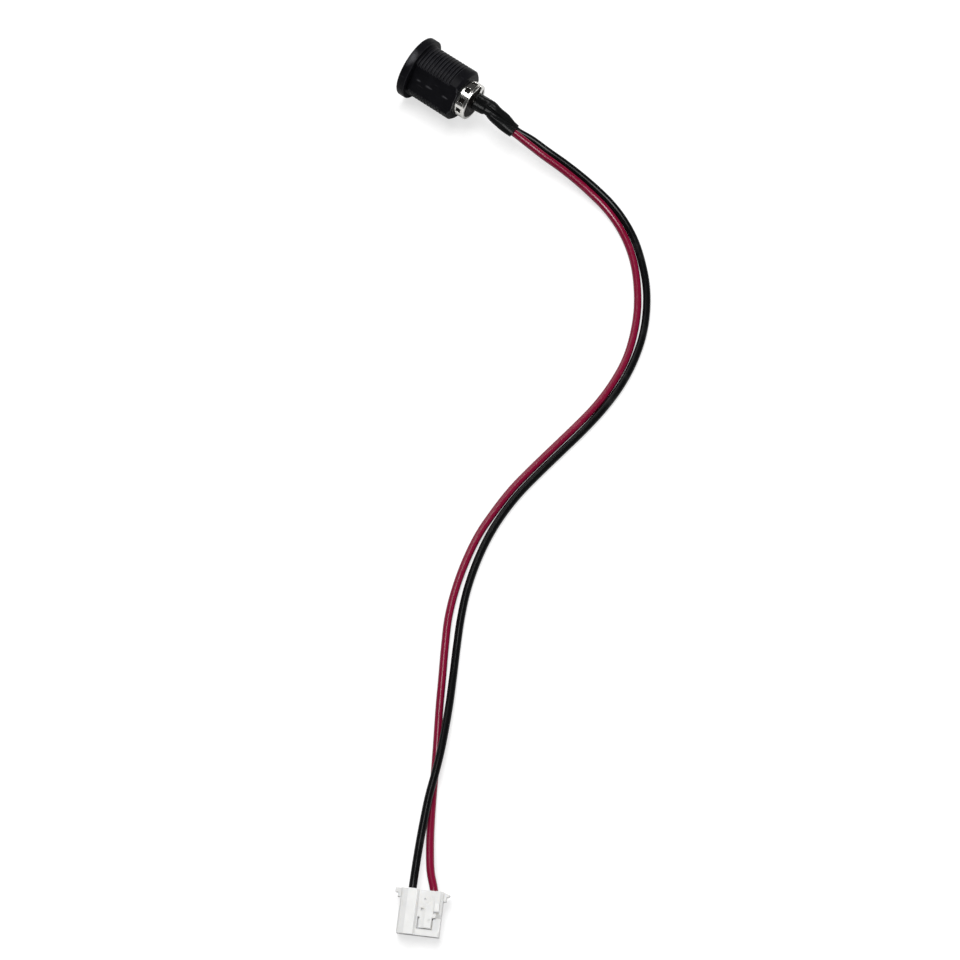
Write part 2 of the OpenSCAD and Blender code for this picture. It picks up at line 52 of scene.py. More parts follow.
# Fillet between flange and barrel: foot, height, length
ROOT_FOOT, ROOT_H, ROOT_L = 0.1, 0.08, 0.15
FLAT_AT, FLAT_R = 145.0, 4.5
# Degrees off a flat's middle between which its edge lies; degrees between points on flat, edge and round
FLAT_EDGE, TURN_STEPS, LAST_TURN_GAP = (26, 38), (1.5, 0.75, 2.5), 0.3
# Scuffs on the flat, and (the last) a painted highlight on the flange's rim, speckled like a rubbed patch:
# middle, half length, half width
SCUFFS_AND_RIM_HIGHLIGHT = [((1.9, -3.64, 2.65), 0.75, 0.3), ((4.45, -3.72, 2.54), 1.25, 0.32),
          ((8.4, -3.7, 2.57), 1.1, 0.3), ((-0.9, -1.9, 6.2), 1.2, 2.4)]
SCUFF_SLANT = 0.35
THREAD_PITCH, THREAD_DEPTH, THREAD_RIDGE = 0.75, 0.24, (0.12, 0.8)
THREAD_START, THREAD_END, THREAD_RUN_OUT = 0.2, 8.6, 0.5
RINGS_A_PITCH, FIRST_RING, LAST_RING_GAP = 12, 0.02, 0.03
MOUTH_R, MOUTH_CHAMFER = 3.2, 0.4
SHELL_R, SHELL_IN_R, SEAT_R = 3.85, 3.45, 3.88
SHELL_X, RIM_X, RIM_L, RIM_R, RIM_ROUND = -0.3, 12.85, 0.4, 3.3, 0.26
WINDOW_X, WINDOW_L, WINDOW_W, WINDOW_COUNT, WINDOW_TURN = 11.05, 1.1, 1.1, 10, 94.0
GROOVE_X, GROOVE_W, GROOVE_DEPTH, GROOVE_LEAN = 12.25, 0.2, 0.15, 0.05
TONGUE_W, TONGUE_T, TONGUE_BEND, TAG_Y, CUP_X = 1.2, 0.25, 0.22, 1.97, 15.25
HEAD_X, HEAD_R, HEAD_ROUND, SPIGOT_X, SPIGOT_R, SHANK_R = 12.95, 3.27, 0.2, 8.65, 3.42, 0.78
# Shallow recess round the pin in the disc: outer and inner edge, depth; points round the disc
RECESS_R, RECESS_IN_R, RECESS_DEPTH, DISC_SIDES = 1.75, 1.7, 0.06, 120
JOINT_TURN = 45.0

# Wires
WIRE_R, WIRE_X, WIRE_STEP, LIE_Z = 0.75, 16.25, 1.56, -5.75
WIRE_SIDES, WIRE_RING_STEP = 28, 0.45
# Uneven insulation: share of the radius, fineness round the wire and along it
WIRE_UNEVEN, UNEVEN_ROUND, UNEVEN_ALONG = 0.014, 0.7, 0.16
# First points of both wires: along the axis, aside, up, share of the joints' turn
FALL = [[0, 0, 0, 1], [0.5, 0, 0, 1], [1.7, -0.4, -0.1, 0.8], [3.4, -0.6, -0.35, 0.25],
        [5, -0.6, -0.6, -0.5], [6.5, -0.48, -0.88, -0.88]]
# Points of each wire on its way to the plug: x, y, height over the surface
RED_LAY = [
    [26.4, -0.55, 4.2], [30.4, -0.65, 3.5], [34.4, -0.55, 2.75], [38.4, -0.65, 1.95], [42.3, -1, 1.15],
    [46.2, -1.65, 0.5], [50.1, -3, 0.1], [54.2, -5.3, 0], [58, -8.4, 0], [61.4, -12.2, 0],
    [64.4, -16.5, 0], [66.8, -21.2, 0], [68.65, -26.4, 0], [69.57, -32, 0], [69.73, -37.9, 0],
    [69.2, -43.8, 0], [68.4, -49.8, 0], [67.6, -55.8, 0], [67, -61.8, 0], [67, -67.6, 0],
    [67.4, -73.2, 0], [68.6, -79, 0], [70.4, -84.8, 0], [72.8, -90.4, 0], [75.8, -95.6, 0],
    [79, -100.8, 0], [82.2, -106, 0], [85.4, -111, 0], [88.5, -115.9, 0], [91.4, -120.6, 0.15],
    [94.3, -125.1, 0.6], [97.1, -129.1, 1.25], [99.9, -132.7, 2]]
BLACK_LAY = [
    [26.4, 1.0, 3.5], [30.4, 0.92, 3.05], [34.4, 1, 2.4], [38.5, 0.9, 1.7], [42.6, 0.55, 1],
    [46.7, -0.15, 0.4], [50.9, -1.65, 0.1], [55.2, -4.1, 0], [59.1, -7.3, 0], [62.76, -11.08, 0],
    [65.86, -15.48, 0], [68.38, -20.44, 0], [70.15, -26, 0], [71.12, -31.8, 0], [71.27, -37.9, 0],
    [70.8, -44, 0], [70, -50, 0], [69.2, -56, 0], [68.6, -61.9, 0], [68.6, -67.4, 0],
    [69.2, -72.8, 0], [70.5, -78.4, 0], [72.4, -84, 0], [74.9, -89.4, 0], [77.7, -94.5, 0],
    [80.5, -99.4, 0.2], [83.2, -104.2, 0.6], [85.6, -108.8, 1.1], [87.7, -113.1, 1.5],
    [89.5, -117.3, 1.7], [91.2, -121.5, 1.85], [93.2, -125.7, 2], [95.2, -129.7, 2.15],
    [97.3, -133.7, 2.4]]

# Sleeve over the joints: wall, step along it, dent under it, how square the black wire's lobe is
SLEEVE_WALL, SLEEVE_STEP, UNDER_DENT, WIRE_SQUARE = 0.16, 0.09, 0.08, 2.2
# Over the joints: place, lobes' distance, red lobe's reach and height, black lobe's, its squareness,
# crease, fold, slant
SLEEVE_JOINTS = [
    (13.3, 1.42, 1.32, 1.3, 0.9, 0.9, 4, 0.15, 1.15, 0.32),
    (14.2, 1.42, 1.24, 1.22, 0.9, 0.9, 4, 0.16, 1.1, 0.1),
    (15.3, 1.44, 1.1, 1.14, 0.9, 0.94, 3.6, 0.17, 0.85, 0),
    (15.8, 1.5, 0.84, 1.02, 0.86, 0.93, 3, 0.27, 0.75, 0)]
# Along the wires: red lobe's reach, both heights, black lobe's reach, crease, fold
SLEEVE_ENDS = [
    (0.88, 0.96, 0.86, 0.32, 0.7), (0.92, 0.96, 0.86, 0.36, 0.7), (0.98, 0.96, 0.9, 0.4, 0.7),
    (1.0, 0.96, 0.93, 0.4, 0.3), (1.14, 0.97, 0.95, 0.34, 0.35), (1.36, 1.0, 0.98, 0.26, 0.4)]
FOLD_H, FOLD_W = 0.13, 0.12
# Wrinkles where the wires start: height, middle, half length, turns along and round
WRINKLE_H, WRINKLE_X, WRINKLE_L, WRINKLE_TURN = 0.012, 15.8, 0.8, (8, 0.1)
# Uneven skin: height and fineness of wide and narrow lumps
LUMP, SMALL_LUMP = (0.04, 0.9), (0.015, 2.6)

# Plug: its place, then sizes in its own frame, x from the wires' side to the hidden end
PITCH, PLUG_TURN, PLUG_TILT, WIRE_END_X = 3.96, -61.0, 8.0, 1.73
PLUG_AT = Vector((101.2, -136.7, -3.18))
PLUG_L, PLUG_W, CHANNEL_Z, END_DRAFT = 8.2, 7.7, 2.2, 0.1
EAR_REACH, EAR_TIP, EAR_MIDDLE, EAR_X, EAR_Z = 0.9, (0.3, 0.55), 0.4, (0.2, 1.7), 1.6
RIB_TOP, RIB_EDGE, RIB_DRAFT = 3.0, -0.5, 0.4
# Painted shade on the plug, greyest on the left shelf, the right column and the ears: where the left shelf
# ends, bounds of the right column, heights over the channel, share on low parts
SHELF_Y, COLUMN_X, COLUMN_Y, COLUMN_EDGE_Y = -2.5, 7.35, 2.4, 3.3
SHELF_RISE, COLUMN_RISE, LOW_SHADE = 0.3, 0.2, 0.5
# How close a point lies to a plane or to the plug's outside; welding distance; rounded edge
NEAR, NEAR_OUTSIDE, WELD, PLUG_EDGE = 0.05, 0.1, 0.002, 0.07
# Outlines on the plug's top, as x and y, with the heights they reach
LANCE, LANCE_Z = [(4.7, 0.02), (6.84, 0.02), (6.84, 2.26), (4.7, 2.26)], 1.62
LANCE_SLOT, SLOT_Z = [(4.95, 2.2), (7.08, 2.2), (7.08, 2.45), (4.95, 2.45)], 1.25
SLOT_FLOOR = [(4.85, -0.4), (7.15, -0.4), (7.15, 2.3), (6.7, 2.3), (6.7, 0.72), (4.85, 0.72)]
SLOT_FLOOR_Z = (1.32, 1.6)
LOW_STEP, LOW_Z = [(4.8, 2.4), (7.3, 2.4), (7.3, 2.95), (4.8, 2.95)], 1.6
# Ramp down to the low step: where it starts, its side, its length, lean of the wall above it
LOW_X, RAMP_Y, RAMP_L, RAMP_LEAN = 4.0, 2.3, 0.8, 0.3
LANCE_MARK, MARK_DEPTH = [(5.2, 1.62), (5.85, 1.62), (5.85, 1.98), (5.2, 1.98)], 0.02
CHANNEL_PAD = [(1.6, 2.4), (4.9, 2.4), (4.9, 2.2), (6.78, 2.2), (6.78, 1.0), (4.82, 0.86), (4.3, 0.8),
               (3.3, 0.88), (2.5, 1.12), (1.95, 1.6)]
PAD_SINK, PAD_H, PAD_INSET = 0.1, 0.14, 0.06
GATE_X, GATE_Y, GATE_R, GATE_DEPTH, GATE_SIDES = 1.66, 0.71, 0.2, 0.25, 12
CORE_HOLE, CORE_DEPTH = [(3.25, 0.1), (3.75, 0.1), (3.75, 0.58), (3.25, 0.58)], 0.45
NARROW_RIB_STEP, NARROW_RIB_Z = [(-0.2, 2.3), (2.3, 2.3), (2.3, 3.5), (-0.2, 3.5)], 2.62
# How far cutters reach past the faces they cut
CUT_CLEAR = 0.3

# Studio, in metres: floor, its greys to the camera, in mirrors and elsewhere, its glow; the air's greys
TABLE_Z, FLOOR_X, FLOOR_Y = -6.5 * MM, (-2, 2.2), (-2, 2)
PAPER_SEEN, PAPER_MIRRORED, PAPER_HIDDEN, PAPER_GLOW = 0.42, 0.68, 0.5, 0.64
AIR, AIR_MIRRORED = 0.3, 0.05
# Lights: place, aim, size, watts, whether shiny surfaces mirror them
LIGHTS = {
    "overhead": ((-0.17, -0.05, 1.5), (0.06, -0.06, 0), (0.9, 0.5), 16.4, True),
    "window_side": ((-1.1, 0.5, 0.9), (0.05, -0.05, 0), (0.7, 1.0), 4.0, True),
    "fill_side": ((1.2, 0.6, 0.4), (0.1, -0.14, 0), (0.8, 0.6), 6.5, False)}

# CAD pieces shown as they are, with their slots
PLAIN_PIECES = {
    "centre_pin": "pin_plate", "contact_spring": "spring_bronze", "lug_sleeve": "shrink_sleeve",
    "pin_solder": "solder", "shell_solder": "solder", "red_strands": "strands", "black_strands": "strands",
    "red_terminal": "terminal_tin", "black_terminal": "terminal_tin",
    "red_crimped_strands": "strands", "black_crimped_strands": "strands"}


def set_camera():
    data = bpy.data.cameras.new("photo_view")
    data.sensor_width = SENSOR
    data.lens = LENS
    camera = bpy.data.objects.new("photo_view", data)
    camera.location = CAMERA_AT
    camera.rotation_euler = (math.radians(CAMERA_TILT), 0, math.radians(CAMERA_TURN))
    scene.collection.objects.link(camera)
    scene.camera = camera


def smooth_step(low, high, value):
    t = min(1, max(0, (value - low) / (high - low)))
    return t * t * (3 - 2 * t)


def smooth_way(points, step, per_span=24):
    """Evenly spaced points of a smooth line through the given ones; three numbers of each measure length."""
    points = [Vector(p) for p in points]
    ends = [points[0] * 2 - points[1], *points, points[-1] * 2 - points[-2]]
    fine = []
    for p0, p1, p2, p3 in zip(ends, ends[1:], ends[2:], ends[3:]):
        knots = [0.0]
        for a, b in ((p0, p1), (p1, p2), (p2, p3)):
            knots.append(knots[-1] + math.sqrt((b - a).length))
        t0, t1, t2, t3 = knots
        for k in range(per_span):
            t = t1 + (t2 - t1) * k / per_span
            a1 = p0.lerp(p1, (t - t0) / (t1 - t0))
            a2 = p1.lerp(p2, (t - t1) / (t2 - t1))
            a3 = p2.lerp(p3, (t - t2) / (t3 - t2))
            b1 = a1.lerp(a2, (t - t0) / (t2 - t0))
            b2 = a2.lerp(a3, (t - t1) / (t3 - t1))
            fine.append(b1.lerp(b2, (t - t1) / (t2 - t1)))
    fine.append(points[-1])
    lengths = [0.0]
    for a, b in zip(fine, fine[1:]):
        lengths.append(lengths[-1] + (Vector(b[:3]) - Vector(a[:3])).length)
    count = max(2, round(lengths[-1] / step))
    even, i = [], 0
    for k in range(count + 1):
        goal = lengths[-1] * k / count
        while i < len(fine) - 2 and lengths[i + 1] < goal:
            i += 1
        even.append(fine[i].lerp(fine[i + 1], (goal - lengths[i]) / (lengths[i + 1] - lengths[i])))
    return even


def beside(x, distance, share=1.0, aside=0.0, rise=0.0):
    """Point at a distance from the jack's axis, on the side of the tongue's joint."""
    turn = math.radians(JOINT_TURN * share)
    return Vector((x, aside + distance * math.cos(turn), rise + distance * math.sin(turn)))


def plug_place():
    turn = Matrix.Rotation(math.radians(PLUG_TURN), 4, "Z")
    return Matrix.Translation(PLUG_AT) @ turn @ Matrix.Rotation(math.radians(PLUG_TILT), 4, "Y")


def route(step, lay, side):
    """Points of a wire from its joint to its crimp."""
    plug = plug_place()
    return ([beside(WIRE_X + p[0], step, p[3], p[1], p[2]) for p in FALL]
            + [Vector((p[0], p[1], LIE_Z + p[2])) for p in lay]
            + [plug @ Vector((x, side, 0)) for x in (0, WIRE_END_X)])


def loft(rings, closed=False, caps=False):
    """Faces between neighbouring rings of equal count."""
    n, count = len(rings[0]), len(rings)
    faces = []
    for i in range(count if closed else count - 1):
        k = (i + 1) % count
        faces += [(i * n + j, i * n + (j + 1) % n, k * n + (j + 1) % n, k * n + j) for j in range(n)]
    if caps:
        faces += [tuple(range(n)), tuple((count - 1) * n + j for j in range(n))]
    return [p for ring in rings for p in ring], faces


def softened(corners, steps=4, most=0.48):
    """Profile with rounded corners, each (x, r, rounding); a rounding takes at most a share of a side."""
    made = []
    last = len(corners) - 1
    for i, (x, r, rounding) in enumerate(corners):
        here = Vector((x, r))
        if rounding == 0 or i in (0, last):
            made.append(here)
            continue
        before = Vector(corners[i - 1][:2]) - here
        after = Vector(corners[i + 1][:2]) - here
        start = here + before.normalized() * min(rounding, before.length * most)
        end = here + after.normalized() * min(rounding, after.length * most)
        for k in range(steps + 1):
            t = k / steps
            made.append(start * (1 - t) ** 2 + here * 2 * t * (1 - t) + end * t * t)
    return made


def turned_ring(x, r, angles):
    """Ring about the jack's axis; r is a number or a function of the angle."""
    radius = r if callable(r) else lambda a: r
    return [Vector((x, radius(a) * math.cos(math.radians(a)), radius(a) * math.sin(math.radians(a))))
            for a in angles]


def plain_object(name, verts, faces):
    """Object from points in millimetres, faces turned outward."""
    mesh = bpy.data.meshes.new(name)
    mesh.from_pydata([Vector(v) * MM for v in verts], [], faces)
    bm = bmesh.new()
    bm.from_mesh(mesh)
    bmesh.ops.recalc_face_normals(bm, faces=bm.faces)
    bm.to_mesh(mesh)
    bm.free()
    made = bpy.data.objects.new(name, mesh)
    scene.collection.objects.link(made)
    return made


def make_piece(name, verts, faces, material, stands_for, sharp, edge=0.0):
    """Piece of the object in place of a CAD node: smooth, sharp over an angle, those edges rounded."""
    piece = plain_object(name, verts, faces)
    piece.data.shade_smooth()
    piece.data.set_sharp_from_angle(angle=math.radians(sharp))
    piece.data.materials.append(material)
    if edge:
        soft = piece.modifiers.new("soft_edges", "BEVEL")
        soft.width = edge * MM
        soft.segments = 2
        soft.limit_method = "ANGLE"
        soft.angle_limit = math.radians(sharp)
        soft.harden_normals = True
    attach(piece, "root")
    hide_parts(stands_for)
    return piece


def mark(piece, name, values):
    """Number at each point of a piece, for its surface."""
    layer = piece.data.attributes.new(name, "FLOAT", "POINT")
    layer.data.foreach_set("value", values)


def edge_wear_and_sheen(piece):
    """Marks each point with its sharpest outward bend, in radians; the surface lightens bent edges as wear
    and as painted highlight.
    """
    bm = bmesh.new()
    bm.from_mesh(piece.data)
    bends = [max([0.0] + [e.calc_face_angle_signed(0.0) for e in v.link_edges]) for v in bm.verts]
    bm.free()
    mark(piece, "edge", bends)


def wire_piece(name, way, material, stands_for, seed):
    """Round insulation along a way, slightly uneven as extruded insulation is."""
    rings, along, around = [], [], []
    last = len(way) - 1
    run = 0.0
    for i, p in enumerate(way):
        ahead = (way[min(i + 1, last)] - way[max(i - 1, 0)]).normalized()
        side = Vector((0, 0, 1)).cross(ahead).normalized()
        rise = ahead.cross(side)
        if i:
            run += (p - way[i - 1]).length
        ring = []
        for j in range(WIRE_SIDES):
            a = 2 * math.pi * j / WIRE_SIDES
            uneven = noise.noise(Vector((math.cos(a) * UNEVEN_ROUND, math.sin(a) * UNEVEN_ROUND + seed,
                                         run * UNEVEN_ALONG)))
            r = WIRE_R * (1 + WIRE_UNEVEN * uneven)
            ring.append(p + side * r * math.cos(a) + rise * r * math.sin(a))
            along.append(run)
            around.append(j / WIRE_SIDES)
        rings.append(ring)
    verts, faces = loft(rings, caps=True)
    piece = make_piece(name, verts, faces, material, stands_for, sharp=50)
    mark(piece, "along", along)
    mark(piece, "around", around)
    return piece


def barrel_angles():
    """Angles round the barrel, close together where its flats end."""
    on_flat, at_edge, on_round = TURN_STEPS
    angles, a = [], FLAT_AT - 180
    while a < FLAT_AT + 180 - LAST_TURN_GAP:
        angles.append(a)
        off = abs((a - FLAT_AT + 90) % 180 - 90)
        a += on_flat if off < FLAT_EDGE[0] else at_edge if off < FLAT_EDGE[1] else on_round
    return angles


def barrel_radius(x, outside):
    """Radius of the threaded barrel with its flats, as a function of the angle."""
    def radius(a):
        lead = (x / THREAD_PITCH - a / 360) % 1
        ridge = smooth_step(*THREAD_RIDGE, 0.5 + 0.5 * math.cos(2 * math.pi * lead))
        run = (smooth_step(THREAD_START, THREAD_START + THREAD_RUN_OUT, x)
               * (1 - smooth_step(THREAD_END - THREAD_RUN_OUT, THREAD_END, x)))
        r = outside - THREAD_DEPTH * (1 - ridge) * run
        off = math.radians((a - FLAT_AT + 90) % 180 - 90)
        return min(r, FLAT_R / math.cos(off))
    return radius


def scuff_and_highlight_at(p):
    """How much a point of the body is marked: short scuffs along the flat, and a painted highlight on the
    flange's rim, speckled like a rubbed patch.
    """
    strength = 0.0
    for (x, y, z), long, wide in SCUFFS_AND_RIM_HIGHLIGHT:
        off = math.hypot(p.y - y, p.z - z) / wide
        along = (p.x - x) / long
        strength = max(strength, 1 - math.hypot(along, off + SCUFF_SLANT * along))
    return max(0.0, strength)


def jack_body(material):
    """Moulded body: mouth, flange, threaded barrel with two flats, plain rear band and chamfer."""
    angles = barrel_angles()
    front, chamfer_x = -FLANGE_T, BARREL_L - BARREL_CHAMFER
    mouth_and_flange = softened([
        (BARREL_L, SEAT_R, 0), (SHELL_X, SEAT_R, 0.03), (SHELL_X, MOUTH_R, 0.05),
        (front + MOUTH_CHAMFER, MOUTH_R, 0.08), (front, MOUTH_R + MOUTH_CHAMFER, 0.1),
        (front, MOUTH_R + FLANGE_FACE_EDGE, 0), (front, FLANGE_R - FLANGE_FACE_EDGE, 0),
        (front, FLANGE_R, FLANGE_ROUND), *((x, FLANGE_R, 0) for x in FLANGE_RINGS),
        (0, FLANGE_R, 0.14), (0, BARREL_R + ROOT_FOOT, 0)])
    rings = [turned_ring(p.x, p.y, angles) for p in mouth_and_flange]
    x = FIRST_RING
    while x < chamfer_x - LAST_RING_GAP:
        root = ROOT_H * (1 - smooth_step(0, ROOT_L, x))
        rings.append(turned_ring(x, barrel_radius(x, BARREL_R + root), angles))
        x += THREAD_PITCH / RINGS_A_PITCH
    rear = softened([(chamfer_x - REAR_EDGE, BARREL_R, 0), (chamfer_x, BARREL_R, 0.08),
                     (BARREL_L, BARREL_R - BARREL_CHAMFER, 0.1), (BARREL_L, SEAT_R + REAR_EDGE, 0)])
    rings += [turned_ring(p.x, barrel_radius(BARREL_L, p.y), angles) for p in rear[1:]]
    verts, faces = loft(rings, closed=True)
    piece = make_piece("threaded_body", verts, faces, material, "jack_body", sharp=38)
    # The scuff mark holds the flat's scuffs and the painted highlight on the flange's rim.
    mark(piece, "scuff", [scuff_and_highlight_at(v) for v in verts])
    edge_wear_and_sheen(piece)
    return piece


def strip(path, width, thick):
    """Bent strip in the plane of the tongue's joint: path points are (x, out)."""
    turn = Matrix.Rotation(math.radians(JOINT_TURN), 3, "X")
    last = len(path) - 1
    rings = []
    for i, p in enumerate(path):
        ahead = path[min(i + 1, last)] - path[max(i - 1, 0)]
        across = Vector((-ahead.y, ahead.x)).normalized() * thick / 2
        rings.append([turn @ Vector((p.x + s * across.x, p.y + s * across.y, w * width / 2))
                      for s, w in ((1, 1), (1, -1), (-1, -1), (-1, 1))])
    return loft(rings, caps=True)


def contact_shell(material):
    """Drawn shell with windows, groove, rolled rim and the tongue bent over the disc."""
    per_window, per_bar = 8, 8
    half = math.degrees(WINDOW_W / 2 / SHELL_R)
    pitch = 360 / WINDOW_COUNT
    angles, open_after = [], []
    for w in range(WINDOW_COUNT):
        middle = WINDOW_TURN + w * pitch
        for k in range(per_window):
            angles.append(middle - half + 2 * half * k / per_window)
            open_after.append(True)
        for k in range(per_bar):
            angles.append(middle + half + (pitch - 2 * half) * k / per_bar)
            open_after.append(False)
    window_end, groove_end, rim_start = WINDOW_X + WINDOW_L, GROOVE_X + GROOVE_W, RIM_X - RIM_L
    groove_r = SHELL_R - GROOVE_DEPTH
    outer = [Vector((x, SHELL_R)) for x in (SHELL_X, BARREL_L, WINDOW_X, window_end)]
    outer += softened([
        (window_end, SHELL_R, 0), (GROOVE_X, SHELL_R, 0.06), (GROOVE_X + GROOVE_LEAN, groove_r, 0.04),
        (groove_end - GROOVE_LEAN, groove_r, 0.04), (groove_end, SHELL_R, 0.06),
        (RIM_X, SHELL_R, RIM_ROUND), (RIM_X, RIM_R, 0.08), (rim_start, RIM_R, 0)], steps=5)[1:]
    inner = [Vector((x, SHELL_IN_R)) for x in (rim_start, window_end, WINDOW_X, BARREL_L, SHELL_X)]
    verts, faces = loft([turned_ring(p.x, p.y, angles) for p in outer + inner], closed=True)
    n = len(angles)
    # Rows of the profile where the windows open, outside and inside
    out_start, in_end = 2, len(outer) + 1
    kept = []
    for f in faces:
        row, col = divmod(f[0], n)
        if not (open_after[col] and row in (out_start, in_end)):
            kept.append(f)
    for j in range(n):
        if not open_after[j]:
            continue
        k = (j + 1) % n
        a, b, c, d = out_start * n, (out_start + 1) * n, in_end * n, (in_end + 1) * n
        kept += [(a + j, a + k, d + k, d + j), (b + j, c + j, c + k, b + k)]
        if not open_after[j - 1]:
            kept.append((a + j, d + j, c + j, b + j))
        if not open_after[k]:
            kept.append((a + k, b + k, c + k, d + k))
    bend_x, bend_y = HEAD_X + TONGUE_T / 2, TAG_Y + TONGUE_T / 2
    middle = SHELL_R - TONGUE_T / 2
    bent = softened([(rim_start, middle, 0), (bend_x, middle, TONGUE_BEND), (bend_x, bend_y, TONGUE_BEND),
                     (CUP_X, bend_y, 0)], steps=6)
    tongue_verts, tongue_faces = strip(bent, TONGUE_W, TONGUE_T)
    start = len(verts)
    verts = verts + tongue_verts
    kept += [tuple(v + start for v in f) for f in tongue_faces]
    return make_piece("drawn_shell", verts, kept, material, "contact_shell",
                      sharp=40, edge=0.035)


def rear_disc(material):
    """Disc that closes the shell, with its spigot behind the windows and a softly rounded edge."""
    angles = [360 * k / DISC_SIDES for k in range(DISC_SIDES)]
    rim_start, recess_x = RIM_X - RIM_L, HEAD_X - RECESS_DEPTH
    profile = softened([
        (SPIGOT_X, SHANK_R, 0), (SPIGOT_X, SPIGOT_R, 0.1), (rim_start, SPIGOT_R, 0.04),
        (rim_start, HEAD_R, 0.04), (HEAD_X, HEAD_R, HEAD_ROUND), (HEAD_X, RECESS_R, 0.05),
        (recess_x, RECESS_IN_R, 0.04), (recess_x, SHANK_R, 0)], steps=5)
    verts, faces = loft([turned_ring(p.x, p.y, angles) for p in profile], closed=True)
    piece = make_piece("rear_disc", verts, faces, material, "rear_insulator", sharp=40)
    edge_wear_and_sheen(piece)
    return piece


def sleeve_outline(half, red, black, square, dent, arc=20, flat=24):
    """Outline round two lobes, each (reach, height), as pairs (across, up); a dent creases its top."""
    made = []
    for end, (reach, height), power in ((1, black, 2 / square), (-1, red, 1.0)):
        for k in range(arc):
            a = math.radians(-90 + 180 * k / arc)
            c = abs(math.cos(a)) ** power
            s = math.copysign(abs(math.sin(a)) ** power, math.sin(a))
            made.append((end * (half + reach * c), end * height * s))
        for k in range(flat):
            u = end * (1 - 2 * k / flat)
            share = 0.5 + 0.5 * u
            height_here = black[1] * share + red[1] * (1 - share)
            fold = (1 - u * u) ** 2
            made.append((half * u, height_here - dent * fold if end > 0 else UNDER_DENT * fold - height_here))
    return made


def shrunk_sleeve(material, red, black):
    """Sleeve shrunk over both joints: snug on the tongue and the pin's joint, creased between the wires."""
    stations = []
    for x, apart, reach, height, tag_reach, tag_height, square, crease, fold, slant in SLEEVE_JOINTS:
        stations.append((*beside(x, apart / 2), *beside(0, 1), apart / 2, reach, height, tag_reach,
                         tag_height, square, crease, fold, slant))
    for a, b, (reach, height, far_reach, crease, fold) in zip(red, black, SLEEVE_ENDS):
        stations.append((*(a + b) / 2, *(b - a).normalized(), WIRE_STEP / 2, reach, height, far_reach,
                         height, WIRE_SQUARE, crease, fold, 0))
    way = smooth_way(stations, SLEEVE_STEP)
    outers, inners = [], []
    last = len(way) - 1
    for i, s in enumerate(way):
        centre, across = Vector(s[:3]), Vector(s[3:6]).normalized()
        ahead = (Vector(way[min(i + 1, last)][:3]) - Vector(way[max(i - 1, 0)][:3])).normalized()
        across = (across - ahead * across.dot(ahead)).normalized()
        up = ahead.cross(across)
        up = -up if up.z < 0 else up
        half, reach, height, far_reach, far_height, square, crease, fold, slant = s[6:]
        wrinkle = WRINKLE_H * math.exp(-((s[0] - WRINKLE_X) / WRINKLE_L) ** 2)
        for rings, thin in ((outers, 0), (inners, SLEEVE_WALL)):
            ring = []
            outline = sleeve_outline(half, (reach - thin, height - thin),
                                     (far_reach - thin, far_height - thin), square, crease)
            for j, (u, v) in enumerate(outline):
                lean = Vector((u - half * max(-1, min(1, u / half)), v)).normalized()
                p = centre + across * u + up * v
                lump = (LUMP[0] * noise.noise(p * LUMP[1] + Vector((4, 2, 7)))
                        + SMALL_LUMP[0] * noise.noise(p * SMALL_LUMP[1]))
                lump += wrinkle * math.sin(s[0] * WRINKLE_TURN[0] + WRINKLE_TURN[1] * j)
                if v > 0:
                    lump += FOLD_H * math.exp(-((u - fold) / FOLD_W) ** 2)
                back = slant * min(1, max(0, 0.5 - 0.5 * u / half))
                ring.append(p + (across * lean.x + up * lean.y) * lump - ahead * back)
            rings.append(ring)
    verts, faces = loft(outers + inners[::-1], closed=True)
    return make_piece("shrunk_sleeve", verts, faces, material, "heat_shrink",
                      sharp=55, edge=0.04)


def worked(verts, faces, tools):
    """Points and faces of a shape after closed shapes join it or cut it: tools are (operation, shape)."""
    body = plain_object("blank", verts, faces)
    helpers = []
    for operation, shape in tools:
        helpers.append(plain_object("tool", *shape))
        work = body.modifiers.new(operation, "BOOLEAN")
        work.operation = operation
        work.object = helpers[-1]
    bpy.context.view_layer.update()
    shaped = body.evaluated_get(bpy.context.evaluated_depsgraph_get()).to_mesh()
    result = [v.co / MM for v in shaped.vertices], [tuple(f.vertices) for f in shaped.polygons]
    for spent in (body, *helpers):
        bpy.data.meshes.remove(spent.data)
    return result


def prism(outline, low, high, inset=0.0):
    """Closed block on an outline (x, y) of the plug's frame; inset draws its top in."""
    plug = plug_place()
    middle = sum((Vector(p) for p in outline), Vector((0, 0))) / len(outline)
    shrunk = [Vector(p) + (middle - Vector(p)).normalized() * inset for p in outline]
    rings = [[plug @ Vector((*p, low)) for p in outline], [plug @ Vector((*p, high)) for p in shrunk]]
    return loft(rings, caps=True)


def painted_shade_at(p):
    """Painted shade at a point of the plug: all of it on the left shelf, the right column and the ears, a
    share on its other low parts.
    """
    if abs(p.y) > PLUG_W / 2 + NEAR_OUTSIDE or (p.y < SHELF_Y and p.z < CHANNEL_Z + SHELF_RISE):
        return 1.0
    under_top = p.z < RIB_TOP - NEAR_OUTSIDE
    on_column = (p.z < CHANNEL_Z - NEAR or (p.z > CHANNEL_Z + COLUMN_RISE and under_top)
                 or (p.x < LOW_X + NEAR and p.y > COLUMN_EDGE_Y and under_top))
    if p.y > COLUMN_Y and p.x < COLUMN_X and on_column:
        return LOW_SHADE if p.z < CHANNEL_Z else 1.0
    return LOW_SHADE if p.z < CHANNEL_Z + NEAR else 0.0


